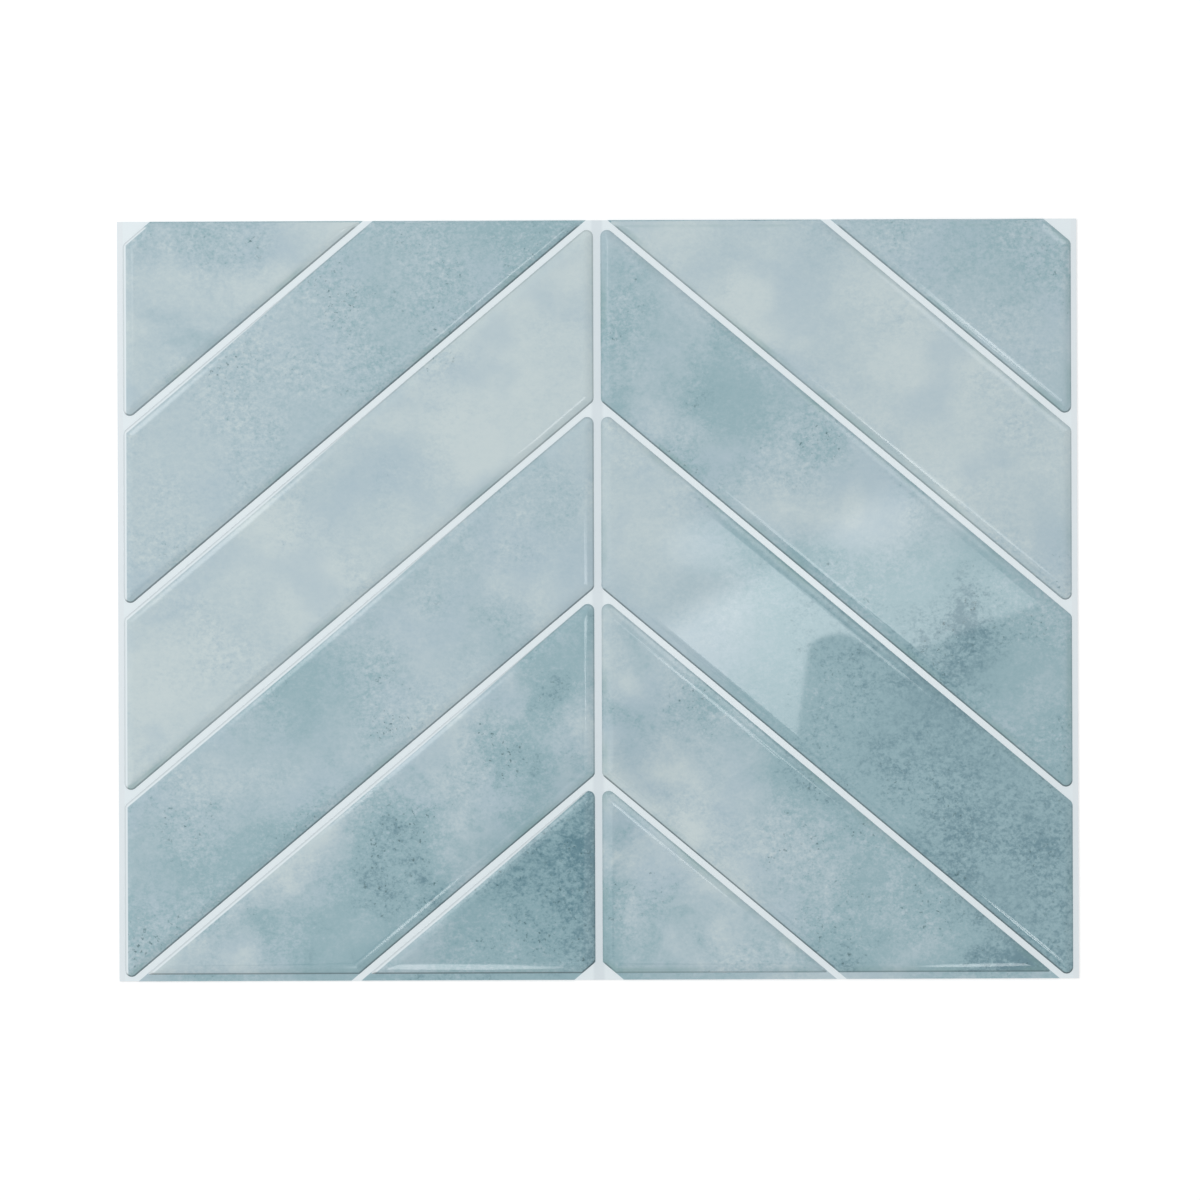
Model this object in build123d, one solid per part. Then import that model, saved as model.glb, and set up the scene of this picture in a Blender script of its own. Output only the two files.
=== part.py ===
from build123d import *
import os
from math import cos, radians, tan

# Self-adhesive wall panel: a printed vinyl sheet that carries twelve domed gel tiles in a chevron.
# Millimetres. The panel lies on its back: X runs across it, Y up the wall, Z off the wall.
# The origin is the middle of the flat back face.

# Sheet
panel_width = 304.8
panel_height = 241.3
sheet_thickness = 0.5

# Chevron: the joints climb from both sides to the upright joint in the middle, the spine
chevron_angle = 40.0
row_pitch = 59.4        # along the spine, from one joint to the next
apex_height = 122.25    # where the first whole joint meets the spine, above the panel's middle
row_count = 6
joint_width = 2.0
spine_width = 2.3
side_margin = 1.8
top_margin = 0.3
foot_margin = 2.1       # bare printed strip below the tiles that the lower edge cuts
first_foot_row = 5

# Gel dome: poured resin stops at its outline, climbs from there in a parabola and levels out
gel_height = 1.4
rim_width = 3.5         # from the outline to the parabola's crest
rim_strips = 8
crest_share = 0.96      # share of the rim's width where the flat top begins
corner_radius = 2.1
crest_radius = 0.35     # least rounding, near the flat top
cut_radius = 0.4        # crisp corners where a tile ends at the upper edge or the foot strip
on_line = 0.01


def joint_line(index):
    """Height at the spine of the middle of a slanted joint, counted down from the apex."""
    return apex_height - index * row_pitch


def tile_outline(row):
    """Foot of one tile of the right half: a slanted band, cut to the window of the half panel."""
    half_joint = joint_width / 2 / cos(radians(chevron_angle))
    upper = joint_line(row - 3) - half_joint
    lower = joint_line(row - 2) + half_joint
    far = panel_width
    drop = far * tan(radians(chevron_angle))
    band = make_face(Polyline((0, upper), (far, upper - drop), (far, lower - drop), (0, lower), close=True))
    left = spine_width / 2
    right = panel_width / 2 - side_margin
    top = panel_height / 2 - top_margin
    foot = -panel_height / 2 + (foot_margin if row >= first_foot_row else -panel_height)
    window = Pos((left + right) / 2, (top + foot) / 2) * Rectangle(right - left, top - foot)
    return band & window


def rim_rise(share):
    """Height of the rim's parabola at a share of its width, where 1 is the crest."""
    return 1 - (1 - share) ** 2


def rim_section(row, share):
    """One tile's outline drawn in and raised to a place on its rim, round where poured, crisp where cut."""
    inset = rim_width * share
    level = sheet_thickness + gel_height * rim_rise(share) / rim_rise(crest_share)
    outline = tile_outline(row)
    shape = offset(outline, amount=-inset, kind=Kind.INTERSECTION) if inset > 0 else outline
    top_cut = panel_height / 2 - top_margin - inset
    foot_cut = foot_margin + inset - panel_height / 2
    cut = foot_cut if row >= first_foot_row else top_cut
    crisp = shape.vertices().filter_by_position(Axis.Y, cut - on_line, cut + on_line)
    poured = shape.vertices() - crisp
    rounded = fillet(poured, max(corner_radius - inset, crest_radius))
    crisp = rounded.vertices().filter_by_position(Axis.Y, cut - on_line, cut + on_line)
    if crisp:
        rounded = fillet(crisp, cut_radius)
    return Pos(0, 0, level) * rounded


def gel_tile(row):
    """One domed tile of the right half, lofted in narrow strips from its foot to its flat top."""
    shares = [crest_share * strip / rim_strips for strip in range(rim_strips + 1)]
    return loft([rim_section(row, share).face() for share in shares], ruled=True)


os.makedirs("parts", exist_ok=True)

backing_sheet = extrude(Rectangle(panel_width, panel_height), sheet_thickness)
export_step(backing_sheet, "parts/backing_sheet.step")

for row in range(1, row_count + 1):
    tile = gel_tile(row)
    export_step(tile, f"parts/gel_tile_right_{row}.step")
    export_step(mirror(tile, about=Plane.YZ), f"parts/gel_tile_left_{row}.step")
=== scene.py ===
# %% [markdown]
# # A self-adhesive wall panel with domed gel tiles
# The panel is a thin printed vinyl sheet. Twelve puddles of clear resin were poured on its print,
# and each one set as a low dome with a rounded rim. The packed model gives the frame that every
# new surface has to keep to, so its box is written down before anything is added.

# %% Load the packed panel
import math

import bpy
import numpy as np
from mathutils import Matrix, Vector


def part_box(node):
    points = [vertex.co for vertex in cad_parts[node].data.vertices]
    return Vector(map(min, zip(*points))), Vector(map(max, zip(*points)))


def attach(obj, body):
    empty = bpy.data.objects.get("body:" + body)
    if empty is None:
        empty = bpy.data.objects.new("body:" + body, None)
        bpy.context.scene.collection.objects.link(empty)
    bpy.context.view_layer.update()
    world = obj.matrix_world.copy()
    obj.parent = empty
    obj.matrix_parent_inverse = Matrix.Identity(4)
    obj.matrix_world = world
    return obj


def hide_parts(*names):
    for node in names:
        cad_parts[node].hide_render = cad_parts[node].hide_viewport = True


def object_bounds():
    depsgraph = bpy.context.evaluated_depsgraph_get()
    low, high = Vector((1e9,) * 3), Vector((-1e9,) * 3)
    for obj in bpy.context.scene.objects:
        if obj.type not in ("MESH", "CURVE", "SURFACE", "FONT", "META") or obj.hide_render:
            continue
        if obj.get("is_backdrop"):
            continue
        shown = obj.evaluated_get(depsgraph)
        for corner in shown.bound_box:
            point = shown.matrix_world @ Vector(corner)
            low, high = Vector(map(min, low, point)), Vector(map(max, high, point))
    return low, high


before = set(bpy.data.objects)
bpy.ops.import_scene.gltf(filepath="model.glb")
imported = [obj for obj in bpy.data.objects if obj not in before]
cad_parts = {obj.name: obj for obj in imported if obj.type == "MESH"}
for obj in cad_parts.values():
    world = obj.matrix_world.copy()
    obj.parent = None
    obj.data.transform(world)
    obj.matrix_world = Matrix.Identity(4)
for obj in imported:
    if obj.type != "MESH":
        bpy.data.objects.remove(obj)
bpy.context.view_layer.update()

print("nodes:", sorted(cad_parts))

# %% [markdown]
# ## Where the tiles lie
# The sheet's own box gives its edges. The chevron is ruled by slanted joints that drop away from
# the spine, the upright joint in the middle, all at one angle and one pitch. A tile is what four
# straight edges enclose, so each edge is kept as an outward normal and a distance from the middle.

# %% Sizes and tile edges
MM = 0.001
sheet_low, sheet_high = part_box("backing_sheet")
HALF_WIDTH = float(sheet_high[0])
HALF_HEIGHT = float(sheet_high[1])
SHEET_TOP = float(sheet_high[2])
GEL_TOP = float(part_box("gel_tile_left_3")[1][2])

CHEVRON_ANGLE = math.radians(40)
CHEVRON_SLOPE = math.tan(CHEVRON_ANGLE)
ROW_PITCH = 59.4 * MM
APEX_HEIGHT = 122.25 * MM
JOINT_WIDTH = 2.0 * MM
SPINE_WIDTH = 2.3 * MM
SIDE_MARGIN = 1.8 * MM
TOP_MARGIN = 0.3 * MM
FOOT_MARGIN = 2.1 * MM
ROWS = range(1, 7)
FIRST_WHOLE_ROW = 3
FIRST_FOOT_ROW = 5
SIDES = {"left": -1, "right": 1}

EDGE_NORMAL_ANGLES = {
    "side": 0.0,
    "upper": math.pi / 2 - CHEVRON_ANGLE,
    "top": math.pi / 2,
    "spine": math.pi,
    "lower": 3 * math.pi / 2 - CHEVRON_ANGLE,
    "foot": 3 * math.pi / 2,
}
TOP_ROW_EDGES = ("side", "upper", "top", "lower")
WHOLE_ROW_EDGES = ("side", "upper", "spine", "lower")
FOOT_ROW_EDGES = ("upper", "spine", "lower", "foot")


def joint_height(number):
    """Return where a slanted joint's middle line meets the spine; joint 0 is the one at the apex."""
    return APEX_HEIGHT - number * ROW_PITCH


def tile_edges(row):
    """Return the names, normal angles and distances of a right-hand tile's edges, anticlockwise.

    A slanted joint is the line y = apex - number * pitch - slope * x; its distance from the origin
    is its height on the spine times the cosine of the chevron angle.
    """
    if row < FIRST_WHOLE_ROW:
        names = TOP_ROW_EDGES
    else:
        names = WHOLE_ROW_EDGES if row < FIRST_FOOT_ROW else FOOT_ROW_EDGES
    joint_above = row - FIRST_WHOLE_ROW
    upper, lower = joint_height(np.array([joint_above, joint_above + 1])) * math.cos(CHEVRON_ANGLE)
    distances = {
        "side": HALF_WIDTH - SIDE_MARGIN,
        "upper": upper - JOINT_WIDTH / 2,
        "top": HALF_HEIGHT - TOP_MARGIN,
        "spine": -SPINE_WIDTH / 2,
        "lower": -lower - JOINT_WIDTH / 2,
        "foot": HALF_HEIGHT - FOOT_MARGIN,
    }
    angles = np.array([EDGE_NORMAL_ANGLES[name] for name in names])
    return names, angles, np.array([distances[name] for name in names])


for row in ROWS:
    _, angles, distances = tile_edges(row)
    print("row", row, "edges at", np.round(np.degrees(angles)), np.round(distances / MM, 1), "mm")

# %% [markdown]
# ## The shape of a dome
# Resin that is poured on a sheet stops at its outline and is pulled into a smooth curve there, then
# levels out. A cut block with a bevel would show flat facets in the reflections. Here the outline is
# carried inward as a family of rings while a parabola lifts it, so the rim turns without a crease.
# Corners that were poured are round; those at the trimmed upper edge and the foot line are crisp.

# %% Work out a dome as rings
RIM_WIDTH = 3.5 * MM
CREST_SHARE = 0.96
CREST_RISE = 1 - (1 - CREST_SHARE) ** 2
GEL_HEIGHT = GEL_TOP - SHEET_TOP
CORNER_RADIUS = 2.1 * MM
CREST_RADIUS = 0.35 * MM
CUT_RADIUS = 0.4 * MM
CUT_EDGES = ("top", "foot")
LEVEL_RING = 0.6 * MM
RIM_RINGS = 24
ARC_POINTS = 15
EDGE_POINTS = 24


def rim_height(share):
    """Return the dome's height where the rim has run the given share of its width.

    The height follows the parabola 1 - (1 - share)^2, scaled so that it reaches the flat top at
    the crest share.
    """
    return GEL_HEIGHT * (1 - (1 - share) ** 2) / CREST_RISE


def rim_slope(share):
    """Return how steeply the rim climbs at the given share of its width: the height's derivative."""
    return GEL_HEIGHT / RIM_WIDTH * 2 * (1 - share) / CREST_RISE


def tile_rings(row):
    """Return a right-hand tile's points and normals on a grid: rings inward by steps around.

    Step one: two neighbouring edge lines, both moved inward by inset + radius, cross at the centre
    of the corner's arc. Step two: the arc runs from one edge's normal to the next one's. Step
    three: evenly spaced points run straight on to the next arc. A normal leans outward by the slope.
    """
    names, angles, distances = tile_edges(row)
    normals = np.stack([np.cos(angles), np.sin(angles)], axis=1)
    pairs = np.stack([normals, np.roll(normals, -1, axis=0)], axis=1)
    pair_distances = np.stack([distances, np.roll(distances, -1)], axis=1)
    corners = np.linalg.solve(pairs, pair_distances[..., None])[..., 0]
    inward = np.linalg.solve(pairs, -np.ones((len(angles), 2, 1)))[..., 0]

    shares = np.linspace(0, CREST_SHARE, RIM_RINGS)
    insets = np.append(shares * RIM_WIDTH, CREST_SHARE * RIM_WIDTH + LEVEL_RING)
    heights = np.append(rim_height(shares), rim_height(CREST_SHARE)) + SHEET_TOP
    slopes = np.append(rim_slope(shares), 0)
    is_cut = np.isin(names, CUT_EDGES)
    is_cut = is_cut | np.roll(is_cut, -1)
    radii = np.maximum(CORNER_RADIUS - insets, CREST_RADIUS)[:, None]
    radii = np.where(is_cut, CUT_RADIUS, radii)
    centres = corners[None] + (insets[:, None] + radii)[..., None] * inward[None]

    turns = (np.roll(angles, -1) - angles) % (2 * math.pi)
    directions = angles[:, None] + turns[:, None] * np.linspace(0, 1, ARC_POINTS)
    spokes = np.stack([np.cos(directions), np.sin(directions)], axis=-1)
    arcs = centres[:, :, None] + radii[:, :, None, None] * spokes[None]
    starts = arcs[:, :, -1:]
    ends = np.roll(arcs, -1, axis=1)[:, :, :1]
    shares_along = np.linspace(0, 1, EDGE_POINTS + 2)[1:-1, None]
    flat = np.concatenate([arcs, starts + (ends - starts) * shares_along], axis=2)
    flat = flat.reshape(len(insets), -1, 2)
    spokes = np.concatenate([spokes, np.repeat(spokes[:, -1:], EDGE_POINTS, axis=1)], axis=1)
    level = np.broadcast_to(heights[:, None, None], flat.shape[:2] + (1,))
    lean = slopes[:, None, None] * spokes.reshape(1, -1, 2)
    normals = np.concatenate([lean, np.ones_like(level)], axis=2)
    normals /= np.linalg.norm(normals, axis=2, keepdims=True)
    return np.concatenate([flat, level], axis=2), normals


whole_tile, _ = tile_rings(FIRST_WHOLE_ROW)
print("a whole tile:", whole_tile.shape[0], "rings of", whole_tile.shape[1], "points")

# %% [markdown]
# ## From rings to meshes
# Each family of rings becomes one closed mesh with a cap above and one below. Smooth shading could
# average the normals of the faces, but the gloss would show ripples, so they come from the formula.
# Every point also keeps two numbers for the print and its painted shade: how far the rim has climbed
# there, and how far it faces the shaded side. The left half is the right half mirrored, its rings run
# the other way round so that the faces still point outwards.

# %% Build the twelve domes
# The way the side away from the light faces: painted shade on the rims is strongest where they turn this
# way.
SHADE_ANGLE = math.radians(-75)
SHADE_DIRECTION = np.array([math.cos(SHADE_ANGLE), math.sin(SHADE_ANGLE)])
MIRROR = np.array([-1, 1, 1])
DOWN = (0.0, 0.0, -1.0)


def dome_mesh(name, grid, normals):
    """Return a closed object from rings of points: quads between rings, one cap above, one below.

    Quad (i, j) joins steps j and j + 1 of rings i and i + 1; the ring closes on itself. The climb
    is the share of the gel's height, and the facing is the cosine between rim and shaded side.
    """
    rings, steps, _ = grid.shape
    index = np.arange(rings * steps).reshape(rings, steps)
    after = np.roll(index, -1, axis=1)
    quads = np.stack([index[:-1], after[:-1], after[1:], index[1:]], axis=-1).reshape(-1, 4)
    faces = quads.tolist() + [index[-1].tolist(), index[0, ::-1].tolist()]
    mesh = bpy.data.meshes.new(name)
    mesh.from_pydata(grid.reshape(-1, 3).tolist(), [], faces)
    mesh.polygons.foreach_set("use_smooth", np.ones(len(faces), dtype=bool))
    under = np.tile(DOWN, (steps, 1))
    vertex_normals = normals.reshape(-1, 3)
    corners = np.concatenate([vertex_normals[quads.ravel()], vertex_normals[index[-1]], under])
    mesh.normals_split_custom_set(corners.tolist())
    climbed = (grid[..., 2] - SHEET_TOP) / GEL_HEIGHT
    mesh.attributes.new("climb", "FLOAT", "POINT").data.foreach_set("value", climbed.ravel())
    facing = (normals[..., :2] @ SHADE_DIRECTION) / np.linalg.norm(normals[:1, :, :2], axis=2)
    mesh.attributes.new("facing", "FLOAT", "POINT").data.foreach_set("value", facing.ravel())
    mesh.update()
    piece = bpy.data.objects.new(name, mesh)
    bpy.context.scene.collection.objects.link(piece)
    return piece


domes = {}
for side, sign in SIDES.items():
    for row in ROWS:
        grid, normals = tile_rings(row)
        if sign < 0:
            grid = (grid * MIRROR)[:, ::-1]
            normals = (normals * MIRROR)[:, ::-1]
        node = f"gel_tile_{side}_{row}"
        piece = dome_mesh(f"gel_dome_{side}_{row}", grid, normals)
        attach(piece, "root")
        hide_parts(node)
        domes[side, row] = piece
        low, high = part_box(node)
        gap = np.abs(np.array([grid.min((0, 1)), grid.max((0, 1))]) - np.array([low, high])).max()
        print(piece.name, len(piece.data.polygons), "faces, off its CAD box by", round(gap / MM, 3), "mm")

# %% [markdown]
# ## Shader maths as maths
# A procedural print is a formula over the surface, so it reads best as a formula. A thin class wraps
# a socket and turns the usual signs into Math nodes. The alternative, a long list of nodes and
# links, would hide what is computed.

# %% Wrap a socket as a field


class Field:
    """A number that varies over a surface: one output socket of a node tree."""

    def __init__(self, finish, socket):
        self.finish = finish
        self.socket = socket

    def _math(self, operation, *values):
        return self.finish.node("ShaderNodeMath", {"operation": operation}, dict(enumerate(values)))

    def __add__(self, other):
        return self._math("ADD", self, other)

    def __sub__(self, other):
        return self._math("SUBTRACT", self, other)

    def __rsub__(self, other):
        return self._math("SUBTRACT", other, self)

    def __mul__(self, other):
        return self._math("MULTIPLY", self, other)

    def __truediv__(self, other):
        return self._math("DIVIDE", self, other)

    def __rtruediv__(self, other):
        return self._math("DIVIDE", other, self)

    def __abs__(self):
        return self._math("ABSOLUTE", self)

    def __gt__(self, other):
        return self._math("GREATER_THAN", self, other)

    def __lt__(self, other):
        return self._math("LESS_THAN", self, other)

    __radd__ = __add__
    __rmul__ = __mul__

    def most(self, other):
        """Return the greater of two fields."""
        return self._math("MAXIMUM", self, other)

    def floor(self):
        """Return the whole number at or below this field."""
        return self._math("FLOOR", self)

    def softly_least(self, other, reach):
        """Return the lesser of two fields, rounded off where they cross within the reach."""
        return self._math("SMOOTH_MIN", self, other, reach)

    def joined(self, other):
        """Return the union of two shares: what either of them covers."""
        return self + other - self * other

    def ramp(self, start, end, low=0.0, high=1.0):
        """Return a smooth step from low to high while this field runs from start to end."""
        settings = {"interpolation_type": "SMOOTHSTEP"}
        values = {"Value": self, "From Min": start, "From Max": end, "To Min": low, "To Max": high}
        return self.finish.node("ShaderNodeMapRange", settings, values)


print("reflected signs:", [name for name in vars(Field) if name.startswith("__r")])

# %% [markdown]
# ## A finish under construction
# A material's node tree is built by one small class. One of its methods makes every node, sets it up
# and links it, and the others are short sayings for the nodes that come back often. Colours are
# always mixed by a Mix node, because a Math node would turn them grey.

# %% Wrap a node tree as a finish
# Places of the sockets that a Mix node uses for colours.
MIX_SHARE = 0
MIX_FIRST = 6
MIX_SECOND = 7
MIX_RESULT = 2


class Finish:
    """The node tree of a material or a world, under construction."""

    def __init__(self, owner):
        self.owner = owner
        owner.use_nodes = True
        self.tree = owner.node_tree
        self.tree.nodes.clear()

    def node(self, kind, settings, values, output=0):
        """Add a node, set it up, feed its sockets and return one of its outputs as a field."""
        node = self.tree.nodes.new(kind)
        for key, value in settings.items():
            setattr(node, key, value)
        for key, value in values.items():
            if isinstance(value, Field):
                self.tree.links.new(value.socket, node.inputs[key])
            else:
                node.inputs[key].default_value = value
        return Field(self, node.outputs[output]) if len(node.outputs) else None

    def coordinates(self, kind):
        """Return where the surface point lies: Object in metres on the panel, UV on a face's own map."""
        return self.node("ShaderNodeTexCoord", {}, {}, kind)

    def attribute(self, name):
        """Return a number that the mesh keeps at its points."""
        return self.node("ShaderNodeAttribute", {"attribute_name": name}, {}, "Fac")

    def axes(self, vector):
        """Return the three parts of a vector."""
        parts = self.node("ShaderNodeSeparateXYZ", {}, {"Vector": vector})
        return [Field(self, socket) for socket in parts.socket.node.outputs]

    def blend(self, share, first, second):
        """Return a colour that goes from the first to the second with the share."""
        values = {MIX_SHARE: share, MIX_FIRST: first, MIX_SECOND: second}
        return self.node("ShaderNodeMix", {"data_type": "RGBA"}, values, MIX_RESULT)

    def turned(self, vector, angle, stretch):
        """Return the place turned about the upright axis and then drawn out along its first axis."""
        values = {"Vector": vector, "Rotation": (0, 0, angle), "Scale": (1 / stretch, 1, 1)}
        return self.node("ShaderNodeMapping", {"vector_type": "POINT"}, values)

    def cloud(self, vector, layer, seed):
        """Return soft noise around 0.5; the layer gives the size of its lumps and its character."""
        size, offset, detail, roughness, distortion = layer
        values = {"Vector": vector, "W": seed + offset, "Scale": 1 / size, "Detail": detail,
                  "Roughness": roughness, "Distortion": distortion}
        return self.node("ShaderNodeTexNoise", {"noise_dimensions": "4D"}, values)

    def surface(self, constants, fields):
        """Close the material with a Principled shader and its output."""
        shader = self.node("ShaderNodeBsdfPrincipled", {}, {**constants, **fields})
        self.node("ShaderNodeOutputMaterial", {}, {"Surface": shader})
        return self.owner

    def glow(self, share, radiance):
        """Close the material as light that is clear where the share is 0 and full where it is 1."""
        clear = self.node("ShaderNodeBsdfTransparent", {}, {})
        light = self.node("ShaderNodeEmission", {}, {"Strength": radiance})
        mixed = self.node("ShaderNodeMixShader", {}, {0: share, 1: clear, 2: light})
        self.node("ShaderNodeOutputMaterial", {}, {"Surface": mixed})
        return self.owner


def paint(red, green, blue):
    """Return a colour given as screen values from 0 to 255 in linear light, with full alpha.

    The screen's curve is a straight line near black and a power above it.
    """
    screen = np.array([red, green, blue]) / 255
    linear = np.where(screen <= 0.04045, screen / 12.92, ((screen + 0.055) / 1.055) ** 2.4)
    return (*linear.tolist(), 1.0)


print("finish helpers:", [name for name in vars(Finish) if not name.startswith("_")])

# %% [markdown]
# ## The print under the gel
# The ink is a soft glaze pattern: every tile has its own depth of tone, which drifts along the tile,
# with cloudy patches, a felt-like grain and clusters of darker flecks. A picture could carry it, at
# one size only. Layers of noise make a pattern of the same kind that stays sharp at any distance.

# %% Write the print as a formula
PALE_INK = paint(198, 212, 214)
GREY_INK = paint(175, 195, 203)
BLUE_INK = paint(168, 190, 202)
TEAL_INK = paint(146, 177, 185)
DEEP_INK = paint(104, 139, 151)
FLECK_INK = paint(84, 114, 120)
GLINT_INK = paint(206, 219, 226)
INK_STEPS = ((GREY_INK, (-0.1, 0.4)), (TEAL_INK, (0.25, 0.75)), (DEEP_INK, (0.7, 1.2)))

# Each layer has the size of its lumps, an offset of the seed, a detail, a roughness, a distortion.
LAYERS = {
    "patch": (50 * MM, 0, 3.0, 0.45, 0.6),
    "mottle": (16 * MM, 20, 4.0, 0.6, 0.8),
    "brush": (1.3 * MM, 30, 2.0, 0.6, 0.3),
    "grain": (0.8 * MM, 40, 2.0, 0.7, 0.0),
    "cool": (25 * MM, 50, 3.0, 0.5, 0.0),
    "fleck": (1.1 * MM, 60, 2.0, 0.6, 0.0),
    "felt": (30 * MM, 70, 2.0, 0.5, 0.0),
    "wave": (16 * MM, 80, 1.0, 0.4, 0.0),
    "pool": (22 * MM, 90, 2.0, 0.5, 0.0),
    "soil": (60 * MM, 0, 3.0, 0.5, 0.0),
}
NOISE_MIDDLE = 0.5
INNER_REACH = (0.1, 0.45)
OUTER_REACH = (0.5, 0.8)
MOTTLE_GAIN = 0.4
BRUSH_ANGLE = math.radians(-35)
BRUSH_STRETCH = 1.4
BRUSH_GAIN = 1.2
GRAIN_GAIN = 0.9
FELT_TONE = 0.25
FELT_SPAN = (0.48, 0.78)
FELT_GAINS = (0.26, 0.85)
COOL_SPAN = (0.48, 0.68)
COOL_DEPTHS = (0.3, 0.8)
COOL_SHARE = 0.5
GATHER_FELT = 0.7
GATHER_TONE = 0.25
GATHER_MOTTLE = 0.6
GATHER_SPAN = (0.80, 0.98)
FLECK_SPAN = (0.60, 0.70)
FLECK_SHARE = 0.85
GLINT_SPAN = (0.38, 0.28)
GLINT_SHARE = 0.15


def print_colour(finish, place, tones, swing, seed):
    """Return the ink's colour for one tile.

    The tone runs through three given depths from the spine outward, plus large patches, mottling
    and grain; it then picks its ink along a row of four. Flecks gather where patches are deep.
    """
    across, _, _ = finish.axes(place)
    reach = abs(across) / HALF_WIDTH
    inner, middle, outer = tones
    tone = inner + reach.ramp(*INNER_REACH, 0, middle - inner)
    tone = tone + reach.ramp(*OUTER_REACH, 0, outer - middle)
    patch = finish.cloud(place, LAYERS["patch"], seed)
    mottle = finish.cloud(place, LAYERS["mottle"], seed)
    tone = tone + (patch - NOISE_MIDDLE) * swing + (mottle - NOISE_MIDDLE) * (swing * MOTTLE_GAIN)

    felt = finish.cloud(place, LAYERS["felt"], seed)
    rough = (felt + tone * FELT_TONE).ramp(*FELT_SPAN, *FELT_GAINS)
    brushed = finish.turned(place, BRUSH_ANGLE, BRUSH_STRETCH)
    brush = finish.cloud(brushed, LAYERS["brush"], seed)
    grain = finish.cloud(place, LAYERS["grain"], seed)
    tone = tone + ((brush - NOISE_MIDDLE) * BRUSH_GAIN + (grain - NOISE_MIDDLE) * GRAIN_GAIN) * rough

    colour = PALE_INK
    for ink, depths in INK_STEPS:
        colour = finish.blend(tone.ramp(*depths), colour, ink)
    cool = finish.cloud(place, LAYERS["cool"], seed).ramp(*COOL_SPAN)
    colour = finish.blend(cool * tone.ramp(*COOL_DEPTHS, COOL_SHARE, 0.0), colour, BLUE_INK)
    fleck = finish.cloud(place, LAYERS["fleck"], seed)
    gathering = felt * GATHER_FELT + tone * GATHER_TONE + mottle * GATHER_MOTTLE
    gathering = gathering.ramp(*GATHER_SPAN)
    colour = finish.blend(fleck.ramp(*FLECK_SPAN, 0.0, FLECK_SHARE) * gathering, colour, FLECK_INK)
    return finish.blend(fleck.ramp(*GLINT_SPAN, 0.0, GLINT_SHARE) * gathering, colour, GLINT_INK)


print("print:", len(INK_STEPS) + 1, "inks in a row and", len(LAYERS), "layers of noise")

# %% [markdown]
# ## A painted highlight on the left rims
# Left of the spine a thin near-white strip is painted at the foot of the gel, along the upper edges
# and the outer sides: a painted highlight, standing in for the gloss of a lamp at the left. The strip
# could be a mesh of its own, but here it is a share in the print's formula.

# %% Paint a highlight strip on the left rims
# Painted highlight: the strip takes the vinyl's white where a lamp at the left would shine in the gel.
HIGHLIGHT_WHITE = paint(226, 236, 240)
HIGHLIGHT_WIDTH = 1.05 * MM
HIGHLIGHT_BLUR = 0.2 * MM
HIGHLIGHT_TURN = 1.6
HIGHLIGHT_DRIFT = (0 * MM, 165 * MM)


def highlight_share(finish, place, row):
    """Return 1 where a left-hand tile's rim gets the painted highlight and 0 where it shows the ink.

    Inside the upper edge the painted highlight strip widens with a sum of the distance from the spine
    and the distance down the panel; inside the outer side it is even.
    """
    across, along, _ = finish.axes(place)
    reach = abs(across)
    width = (reach * HIGHLIGHT_TURN - along).ramp(*HIGHLIGHT_DRIFT) * HIGHLIGHT_WIDTH
    drop = joint_height(row - FIRST_WHOLE_ROW) - along - reach * CHEVRON_SLOPE
    below_joint = drop * math.cos(CHEVRON_ANGLE)
    upper = (below_joint - JOINT_WIDTH / 2 - width).ramp(HIGHLIGHT_BLUR, -HIGHLIGHT_BLUR)
    outer = (HALF_WIDTH - SIDE_MARGIN - HIGHLIGHT_WIDTH - reach).ramp(HIGHLIGHT_BLUR, -HIGHLIGHT_BLUR)
    return upper.most(outer)


print("painted highlight strip: up to", round(HIGHLIGHT_WIDTH / MM, 2), "mm wide")

# %% [markdown]
# ## The gel's gloss
# The resin is clear, so from above one sees ink with a gloss. Clear domes would trap light and bake
# badly; the gel's surface therefore carries the print itself, under a gloss as hard as the resin's.
# A fine dark line is painted along the foot of the rims, partly the ink's darker edge and partly
# painted shade, strongest on the side away from the light. A patchy deeper teal is painted across the
# rims as painted shade. The tops are almost flat: a faint swell bends what they mirror.

# %% Give every dome its own tones
TILE_TONES = {
    ("left", 1): (0.10, 0.15, 0.21),
    ("left", 2): (0.65, 0.40, 0.32),
    ("left", 3): (0.00, 0.12, 0.06),
    ("left", 4): (0.25, 0.45, 0.55),
    ("left", 5): (0.45, 0.65, 0.20),
    ("left", 6): (0.80, 0.55, 0.50),
    ("right", 1): (0.25, 0.25, 0.40),
    ("right", 2): (0.05, 0.15, 0.15),
    ("right", 3): (0.50, 0.30, 0.72),
    ("right", 4): (0.25, 0.76, 0.92),
    ("right", 5): (0.25, 0.55, 1.25),
    ("right", 6): (0.50, 0.25, 0.30),
}
TILE_SWINGS = {
    "left": (1.7, 0.5, 0.85, 1.3, 2.6, 1.7),
    "right": (0.8, 0.9, 1.55, 0.9, 2.2, 3.0),
}
SEED_STEP = 3.7
SEEDS = {key: SEED_STEP * number for number, key in enumerate(sorted(TILE_TONES))}
GEL_ROUGHNESS = 0.045
GEL_INDEX = 1.5
WAVE_HEIGHT = 0.012 * MM
TRIM_BAND = 2.4 * MM
# Colour of the painted rim shade: a patchy deeper teal across the lower part of each rim.
RIM_SHADE_TEAL = paint(126, 163, 163)
RIM_SHADE_SPAN = (0.45, 0.7)
RIM_SHADE_SHARE = 0.5
RIM_SHADE_CLIMB = (0.55, 0.97)
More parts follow.
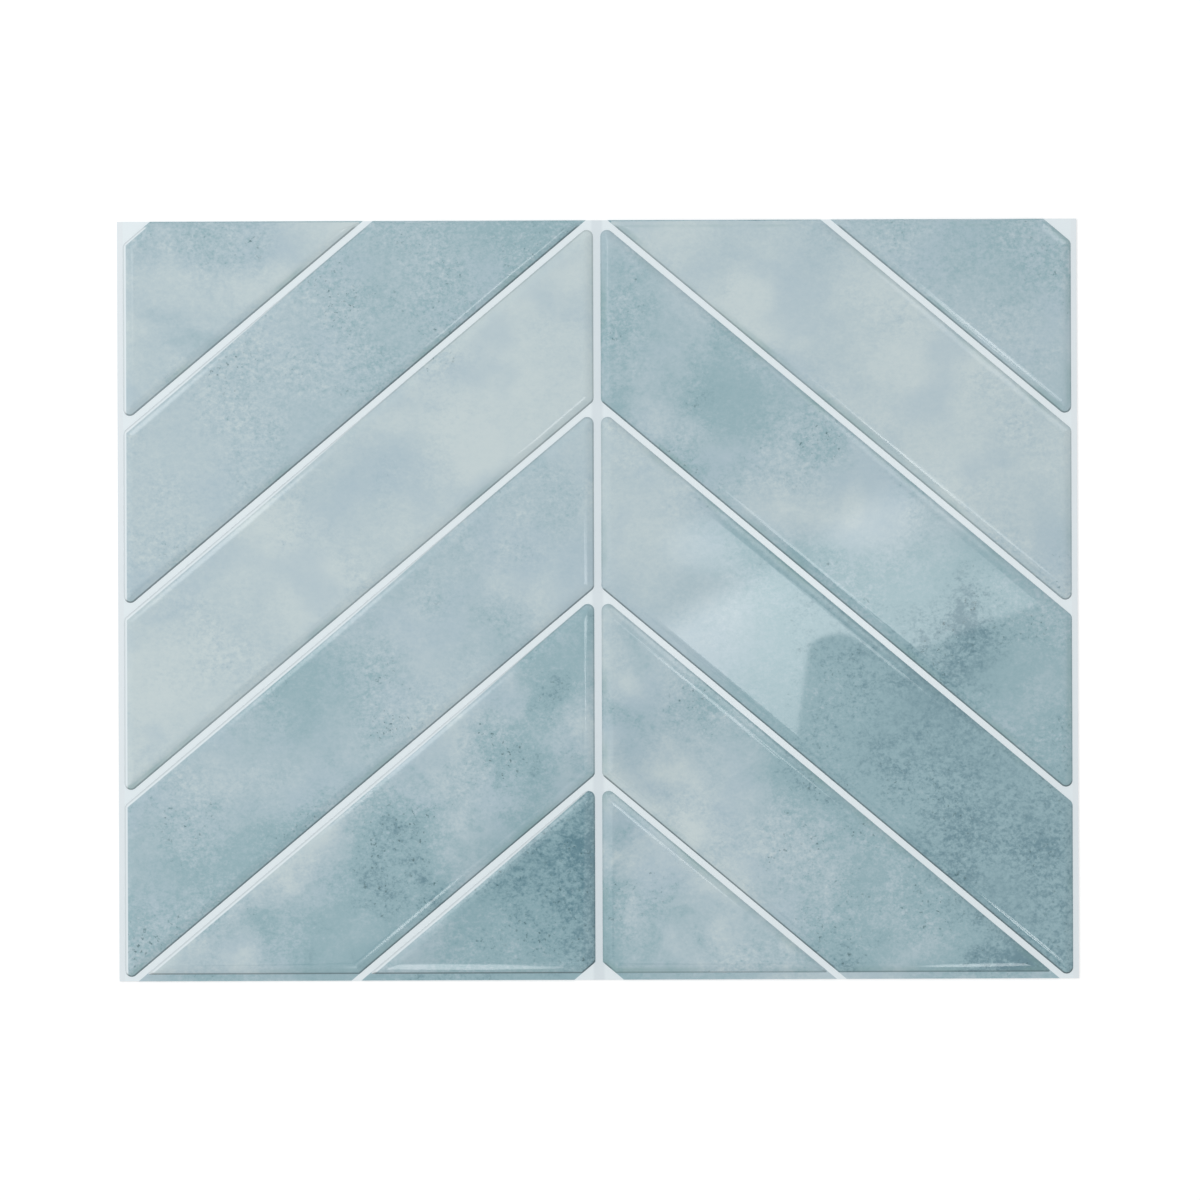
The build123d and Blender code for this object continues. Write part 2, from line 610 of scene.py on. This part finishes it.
# Colour of the dark foot line: partly the ink's darker edge, partly painted shade.
FOOT_INK_AND_SHADE = paint(52, 72, 78)
FOOT_CLIMB = (0.18, 0.34)
FOOT_TURN = (0.1, 0.7)
LIT_FOOT_SHADE = {"left": 0.20, "right": 0.10}
DARK_FOOT_SHADE = 0.42
DARK_FOOT_GAIN = 0.55
FOOT_STRIP_SHADE = {"left": 0.85, "right": 0.55}
FOOT_STRIP_BLUR = 1.0 * MM
FOOT_STRIP_TOP = FOOT_MARGIN + 1.0 * MM - HALF_HEIGHT


def gel_material(side, row):
    """Return one tile's print under its gloss, with painted rim shade, a painted highlight strip and a
    dark foot line.

    The foot line is partly the ink's edge and partly painted shade. Rim shade and line fade out as the
    rim climbs. All three stop short of the trimmed upper edge.
    """
    finish = Finish(bpy.data.materials.new(f"gel_{side}_{row}"))
    place = finish.coordinates("Object")
    _, along, _ = finish.axes(place)
    climb = finish.attribute("climb")
    facing = finish.attribute("facing")
    trimmed = along.ramp(HALF_HEIGHT - TRIM_BAND, HALF_HEIGHT - TRIM_BAND / 2, 1.0, 0.0)
    tones = TILE_TONES[side, row]
    seed = SEEDS[side, row]
    colour = print_colour(finish, place, tones, TILE_SWINGS[side][row - 1], seed)

    # Painted shade: a patchy deeper teal across the rim, fading as it climbs; left of the spine only on
    # rims facing away from the light.
    pooled = finish.cloud(place, LAYERS["pool"], seed).ramp(*RIM_SHADE_SPAN, 0.0, RIM_SHADE_SHARE)
    pooled = pooled * climb.ramp(*RIM_SHADE_CLIMB, 1.0, 0.0) * trimmed
    if side == "left":
        pooled = pooled * facing.ramp(*FOOT_TURN)
    colour = finish.blend(pooled, colour, RIM_SHADE_TEAL)
    if side == "left":
        # Painted highlight: a near-white strip along the left tiles' upper edges and outer sides.
        colour = finish.blend(highlight_share(finish, place, row) * trimmed, colour, HIGHLIGHT_WHITE)

    # Painted shade: a dark line at the rim's foot, strongest on rims facing away from the light, darker
    # on deep-toned tiles.
    dark_shade = DARK_FOOT_SHADE + DARK_FOOT_GAIN * sum(tones) / len(tones)
    line = facing.ramp(*FOOT_TURN, LIT_FOOT_SHADE[side], dark_shade)
    line = line * climb.ramp(*FOOT_CLIMB, 1.0, 0.0)
    if row >= FIRST_FOOT_ROW:
        strip_end = FOOT_STRIP_TOP + FOOT_STRIP_BLUR
        line = line * along.ramp(FOOT_STRIP_TOP, strip_end, FOOT_STRIP_SHADE[side], 1.0)
    colour = finish.blend(line * trimmed, colour, FOOT_INK_AND_SHADE)

    wave = finish.cloud(place, LAYERS["wave"], seed)
    lean = finish.node("ShaderNodeBump", {}, {"Strength": 1.0, "Distance": WAVE_HEIGHT, "Height": wave})
    constants = {"Roughness": GEL_ROUGHNESS, "IOR": GEL_INDEX}
    return finish.surface(constants, {"Base Color": colour, "Normal": lean})


for (side, row), piece in domes.items():
    piece.data.materials.append(gel_material(side, row))
print("gel materials:", len(domes))

# %% [markdown]
# ## The white sheet
# Between the domes the bare vinyl shows as white joints, with painted light and shade from the rims.
# The ink runs on past the gel to the sheet's upper edge and below the lowest tiles. The sheet's
# shape is right as packed, so it only gets a better material.

# %% Give the sheet its vinyl and its strips of ink
JOINT_WHITE = paint(229, 239, 243)
BORDER_WHITE = paint(227, 235, 239)
SPINE_WHITE = paint(218, 228, 233)
VINYL_ROUGHNESS = 0.38
INK_BLUR = 0.12 * MM
CORNER_ZONE = 4.2 * MM
STRIP_TONES = (0.60, 0.50, 0.55)
STRIP_SWING = 1.8
SOIL_SEED = 5.0
SOIL_SHARE = 0.3
HALF_BAND = 0.5

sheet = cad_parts["backing_sheet"]
finish = Finish(bpy.data.materials.new("vinyl_sheet"))
place = finish.coordinates("Object")
across, along, _ = finish.axes(place)
reach = abs(across)
side_edge = HALF_WIDTH - SIDE_MARGIN

# A band is what lies between two joints; its whole part is the row of the tile in it.
band = (APEX_HEIGHT - along - CHEVRON_SLOPE * reach) / ROW_PITCH + FIRST_WHOLE_ROW
band_row = band.floor()
off_middle = abs(band - band_row - HALF_BAND)
band_edge = HALF_BAND - JOINT_WIDTH / 2 / math.cos(CHEVRON_ANGLE) / ROW_PITCH
blur_share = INK_BLUR / ROW_PITCH
printed = off_middle.ramp(band_edge + blur_share, band_edge - blur_share)
printed = printed * reach.ramp(SPINE_WIDTH / 2 - INK_BLUR, SPINE_WIDTH / 2 + INK_BLUR)
printed = printed * reach.ramp(side_edge + INK_BLUR, side_edge - INK_BLUR)
in_top_rows = (band_row > ROWS.start - 1) * (band_row < FIRST_WHOLE_ROW)
in_foot_rows = (band_row > FIRST_FOOT_ROW - 1) * (band_row < ROWS.stop)
at_top = (along > HALF_HEIGHT - CORNER_ZONE) * in_top_rows
at_foot = (along < FOOT_MARGIN + CORNER_ZONE - HALF_HEIGHT) * in_foot_rows
printed = printed * (at_top + at_foot)

ink = print_colour(finish, place, STRIP_TONES, STRIP_SWING, SEEDS["left", 5])
soil = finish.cloud(place, LAYERS["soil"], SOIL_SEED)
# Painted light and shade: the joints are a little lighter and cooler than the border, the spine a little
# darker.
vinyl = finish.blend(reach.ramp(side_edge - INK_BLUR, side_edge + INK_BLUR), JOINT_WHITE, BORDER_WHITE)
vinyl = finish.blend(soil * SOIL_SHARE, vinyl, BORDER_WHITE)
vinyl = finish.blend(reach.ramp(SPINE_WIDTH / 2, SPINE_WIDTH, 1.0, 0.0), vinyl, SPINE_WHITE)
colour = finish.blend(printed, vinyl, ink)
vinyl_material = finish.surface({"Roughness": VINYL_ROUGHNESS}, {"Base Color": colour})
for slot in sheet.material_slots:
    slot.material = vinyl_material
print("sheet slots:", len(sheet.material_slots))

# %% [markdown]
# ## Table and room
# The panel lies on a white table, as in a catalogue picture. The table could be made white with
# strong lamps, but they would bleach the ink. Instead the table and the room only look white to the
# eye and in reflections, and light the panel at a plain level.

# %% Set the table and the room
scene = bpy.context.scene
scene.view_settings.view_transform = "Standard"

FLOOR_SIZE = 6.0
FLOOR_DROP = 0.2 * MM
FLOOR_WHITE = paint(235, 235, 235)
FLOOR_LIFT = (0.3, 0.3, 0.3, 1)
FLOOR_ROUGHNESS = 0.9
BLACK = (0, 0, 0, 1)
WHITE = (1, 1, 1, 1)
ROOM_LEVEL = 0.72
ROOM_SEEN = 1.0


def quad_object(name, corners):
    """Return an object with one four-sided face, mapped from 0 to 1 along two of its sides."""
    mesh = bpy.data.meshes.new(name)
    mesh.from_pydata(corners, [], [(0, 1, 2, 3)])
    mesh.uv_layers.new(name="face").data.foreach_set("uv", (0, 0, 1, 0, 1, 1, 0, 1))
    piece = bpy.data.objects.new(name, mesh)
    scene.collection.objects.link(piece)
    return piece


def rays_that_see(finish):
    """Return 1 for rays that come from the eye, a reflection or a clear body, and 0 for the rest."""
    names = ("Is Camera Ray", "Is Glossy Ray", "Is Transmission Ray")
    camera, glossy, clear = [finish.node("ShaderNodeLightPath", {}, {}, name) for name in names]
    return camera.most(glossy).most(clear)


half = FLOOR_SIZE / 2
floor = quad_object("floor", [(-half, -half, -FLOOR_DROP), (half, -half, -FLOOR_DROP),
                              (half, half, -FLOOR_DROP), (-half, half, -FLOOR_DROP)])
finish = Finish(bpy.data.materials.new("table_white"))
lift = finish.blend(rays_that_see(finish), BLACK, FLOOR_LIFT)
matt = {"Base Color": FLOOR_WHITE, "Roughness": FLOOR_ROUGHNESS, "Specular IOR Level": 0.0,
        "Emission Strength": 1.0}
floor.data.materials.append(finish.surface(matt, {"Emission Color": lift}))
floor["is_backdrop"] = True

finish = Finish(bpy.data.worlds.new("studio"))
level = rays_that_see(finish) * (ROOM_SEEN - ROOM_LEVEL) + ROOM_LEVEL
room = finish.node("ShaderNodeBackground", {}, {"Color": WHITE, "Strength": level})
finish.node("ShaderNodeOutputWorld", {}, {"Surface": room})
scene.world = finish.owner
print("floor:", FLOOR_SIZE, "m wide; room level:", ROOM_LEVEL, "and", ROOM_SEEN, "where it is seen")

# %% [markdown]
# ## The camera
# The panel is seen from straight above. A camera without perspective would do for the outline, but
# the gloss needs a real eye point, so a long lens looks down from over a metre. A small offset and a
# slight turn put the panel where it lies in the picture.

# %% Set the camera
CAMERA_HEIGHT = 1.2
CAMERA_OFFSET = 0.67 * MM
CAMERA_ROLL = math.radians(-0.2)
FRAME_WIDTH = 381.4 * MM
SENSOR = 36.0
camera_data = bpy.data.cameras.new("camera")
camera_data.sensor_width = SENSOR
camera_data.lens = SENSOR * CAMERA_HEIGHT / FRAME_WIDTH
camera = bpy.data.objects.new("camera", camera_data)
camera.location = (CAMERA_OFFSET, 0.0, CAMERA_HEIGHT)
camera.rotation_euler = (0, 0, CAMERA_ROLL)
scene.collection.objects.link(camera)
scene.camera = camera
print("lens:", round(camera_data.lens, 1), "mm, frame", round(FRAME_WIDTH / MM, 1), "mm wide")

# %% [markdown]
# ## The light on the ink
# One broad soft lamp stands high at the upper left and gives the panel its gentle shading and its
# shadow on the table. It is kept out of the gloss: what the gel mirrors is set in the next steps.

# %% Hang the soft lamp
KEY_PLACE = Vector((-0.8, 0.4, 1.3))
KEY_SIZE = (1.2, 0.8)
KEY_RADIANCE = 2.3

lamp = bpy.data.lights.new("key", "AREA")
lamp.shape = "RECTANGLE"
lamp.size, lamp.size_y = KEY_SIZE
lamp.energy = KEY_RADIANCE * math.pi * KEY_SIZE[0] * KEY_SIZE[1]
key = bpy.data.objects.new("key", lamp)
key.location = KEY_PLACE
key.rotation_euler = (-KEY_PLACE).to_track_quat("-Z", "Y").to_euler()
key.visible_glossy = False
scene.collection.objects.link(key)
print("key lamp:", round(lamp.energy, 1), "W")

# %% [markdown]
# ## Streaks of light on the rims
# A glossy rim shows each window of the room as a thin bright streak. The place of a streak tells where
# its window is: a rim that leans by some angle sends the view off at twice that angle. So a panel of
# light is hung for each streak, worked out backwards from the place on the rim, with soft edges. Two
# broad washes shine on all tiles. The other panels are linked to the tiles that show their streak,
# as a photographer's flags would keep them off the rest.

# %% Hang a panel for each streak
EYE = np.array([CAMERA_OFFSET, 0.0])
PANEL_HEIGHT = 0.5


def mirrored(point, height):
    """Return where the eye, by way of the flat top at a point in mm, sees a plane at a height.

    The ray goes on past the mirror as it came, so the point moves away from the eye's foot by the
    ratio of both heights to the eye's.
    """
    spread = 1 + (height - GEL_TOP) / (CAMERA_HEIGHT - GEL_TOP)
    return EYE + (np.array(point) * MM - EYE) * spread


def hang(piece, material):
    """Show a panel of light in the gloss alone, and keep it out of the object."""
    piece.data.materials.append(material)
    piece.visible_camera = False
    piece.visible_diffuse = False
    piece.visible_shadow = False
    piece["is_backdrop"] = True


def streak(name, point, facing, length, insets, core, radiance):
    """Hang a panel that the rim at a point mirrors as a streak; millimetres and degrees.

    The rim's slope at the two insets gives two angles from the upright; the panel reaches from one
    to the other. Along the edge it is as long as the streak, seen from the eye. The light is an
    ellipse on the panel, full inside its core, a share of its size, and fading from there.
    """
    turn = math.radians(facing)
    outward = np.array([math.cos(turn), math.sin(turn)])
    along = np.array([-outward[1], outward[0]])
    first = mirrored(np.array(point) - along * length / 2, PANEL_HEIGHT)
    last = mirrored(np.array(point) + along * length / 2, PANEL_HEIGHT)
    lean = np.arctan(rim_slope(np.array(insets) * MM / RIM_WIDTH))
    far, near = outward[None] * PANEL_HEIGHT * np.tan(2 * lean)[:, None]
    corners = [first + near, last + near, last + far, first + far]
    piece = quad_object(name, [(*corner.tolist(), PANEL_HEIGHT) for corner in corners])
    finish = Finish(bpy.data.materials.new(name))
    across, outer, _ = finish.axes(finish.coordinates("UV"))
    across = across * 2 - 1
    outer = outer * 2 - 1
    hang(piece, finish.glow((across * across + outer * outer).ramp(1.0, core), radiance))
    return piece


def flag_off(piece, tiles):
    """Let a panel of light shine on the given tiles alone, as flags on stands would."""
    receivers = bpy.data.collections.new(piece.name)
    for tile in tiles:
        receivers.objects.link(domes[tile])
    piece.light_linking.receiver_collection = receivers


# Place on the rim, the way it faces, the streak's length, its insets, its core and its radiance.
STREAKS = {
    "wash_upper_right": ((70, 2.5), 50, 150, (0.4, 2.7), 0.1, 3.0),
    "wash_lower_left": ((-38, -88), 130, 110, (0.9, 2.4), 0.1, 4.0),
    "streak_upper_right": ((124, 82.7), -130, 60, (1.4, 2.8), 0.3, 4.5),
    "streak_right_corner": ((139.5, -108), -130, 38, (1.9, 3.2), 0.3, 7.0),
    "streak_right_foot": ((132, -116.3), -90, 44, (1.4, 3.0), 0.3, 6.0),
    "streak_left_foot": ((-50.6, -116.1), -90, 80, (1.0, 3.35), 0.5, 5.0),
    "streak_left_shoulder": ((-60.7, -103.2), -50, 50, (2.3, 3.4), 0.3, 5.5),
}
STREAK_TILES = {
    "streak_upper_right": [("right", 1)],
    "streak_right_corner": [("right", 4)],
    "streak_right_foot": [("right", 5)],
    "streak_left_foot": [("left", 5), ("left", 6)],
    "streak_left_shoulder": [("left", 5)],
}
for name, values in STREAKS.items():
    piece = streak(name, *values)
    if name in STREAK_TILES:
        flag_off(piece, STREAK_TILES[name])
print("panels:", len(STREAKS), "of which linked to tiles:", len(STREAK_TILES))

# %% [markdown]
# ## A window mirrored in the flat tops
# Right of the middle the flat gel mirrors a bright window as a pale veil, and the veil ends at a dark
# rounded outline, where something stood before the window. Paint could fake it, but it would stay put
# when the panel is turned. A panel of light with that outline does what the real window did. Its
# shape is drawn in millimetres on the panel, from straight lines, soft lobes and fades.

# %% Draw the window with its dark outline
VEIL_HEIGHT = 0.25
VEIL_RADIANCE = 6.0
VEIL_LOW = (10, -56)
VEIL_HIGH = (152, 64)
OUTLINE_LEFT = ((63.5, -46), 0.13)
OUTLINE_RISE = ((66.7, -13.9), 0.28)
OUTLINE_FALL = ((78.5, -11.4), -0.50)
OUTLINE_ROUNDING = 5
OUTLINE_BLUR = (-1.2, -0.4)
LOWER_LOBE_TOP = ((34.3, 1.0), 0.599)
LOWER_LOBE_BLUR = (4.66, -9.32)
LOWER_LOBE_END = (122, 80)
LOWER_LOBE_SHARE = 0.9
UPPER_LOBE_MIDDLE = (42, 17)
UPPER_LOBE_REACH = (26, 13)
UPPER_LOBE_SHARE = 0.5
JOINT_BELOW = ((0, 3.5), -CHEVRON_SLOPE)
JOINT_BLUR = (0, 4)
LOW_FADE = (5, 48)
LOW_SHARE = 0.72
NEXT_TILE = (58, 64)
NEXT_TILE_SHARE = 0.5
WAVE_LINE = ((101.8, -15.7), 0.37)
WAVE_BLUR = (-1.0, 1.0)
WAVE_FADE = (44, 10)
WAVE_START = (66, 104)
WAVE_TILE_FOOT = (57, 61)
WAVE_TILE_TOP = (120, 108)
WAVE_SHARE = 0.5

veil_corners = [VEIL_LOW, (VEIL_HIGH[0], VEIL_LOW[1]), VEIL_HIGH, (VEIL_LOW[0], VEIL_HIGH[1])]
veil = quad_object("veil_window", [(*mirrored(corner, VEIL_HEIGHT).tolist(), VEIL_HEIGHT)
                                   for corner in veil_corners])
finish = Finish(bpy.data.materials.new("veil_window"))
across, along, _ = finish.axes(finish.coordinates("UV"))
across = across * (VEIL_HIGH[0] - VEIL_LOW[0]) + VEIL_LOW[0]
along = along * (VEIL_HIGH[1] - VEIL_LOW[1]) + VEIL_LOW[1]


def right_of(place, point, lean):
    """Return how far a place lies right of a line through a point that leans right by a ratio."""
    across, along = place
    return across - point[0] - (along - point[1]) * lean


def above(place, point, rise):
    """Return how far a place lies above a line through a point that rises by a ratio."""
    across, along = place
    return along - point[1] - (across - point[0]) * rise


place = (across, along)
under_rise = 0 - above(place, *OUTLINE_RISE)
under_fall = 0 - above(place, *OUTLINE_FALL)
outline = right_of(place, *OUTLINE_LEFT).softly_least(under_rise, OUTLINE_ROUNDING)
outline = outline.softly_least(under_fall, OUTLINE_ROUNDING).ramp(*OUTLINE_BLUR)

lower_lobe = above(place, *LOWER_LOBE_TOP).ramp(*LOWER_LOBE_BLUR, 0.0, LOWER_LOBE_SHARE)
lower_lobe = lower_lobe * across.ramp(*LOWER_LOBE_END)
lobe_across = (across - UPPER_LOBE_MIDDLE[0]) / UPPER_LOBE_REACH[0]
lobe_along = (along - UPPER_LOBE_MIDDLE[1]) / UPPER_LOBE_REACH[1]
upper_lobe = lobe_across * lobe_across + lobe_along * lobe_along
upper_lobe = upper_lobe.ramp(1.0, 0.0, 0.0, UPPER_LOBE_SHARE)
over_joint = above(place, *JOINT_BELOW)
share = lower_lobe.joined(upper_lobe) * over_joint.ramp(*JOINT_BLUR)
share = share * over_joint.ramp(*LOW_FADE, LOW_SHARE, 1.0)
share = share * over_joint.ramp(*NEXT_TILE, 1.0, NEXT_TILE_SHARE)

over_wave = above(place, *WAVE_LINE)
right_lobe = over_wave.ramp(*WAVE_BLUR) * over_wave.ramp(*WAVE_FADE) * across.ramp(*WAVE_START)
right_lobe = right_lobe * over_joint.ramp(*WAVE_TILE_FOOT) * over_joint.ramp(*WAVE_TILE_TOP)
share = (share * (1 - outline)).joined(right_lobe * WAVE_SHARE)
hang(veil, finish.glow(share, VEIL_RADIANCE))
print("veil: from", VEIL_LOW, "to", VEIL_HIGH, "mm on the panel")

# %% [markdown]
# ## Close the scene
# The visual model has to stay inside the packed model's box, so both boxes are kept side by side.

# %% Compare the boxes and finish
low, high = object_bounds()
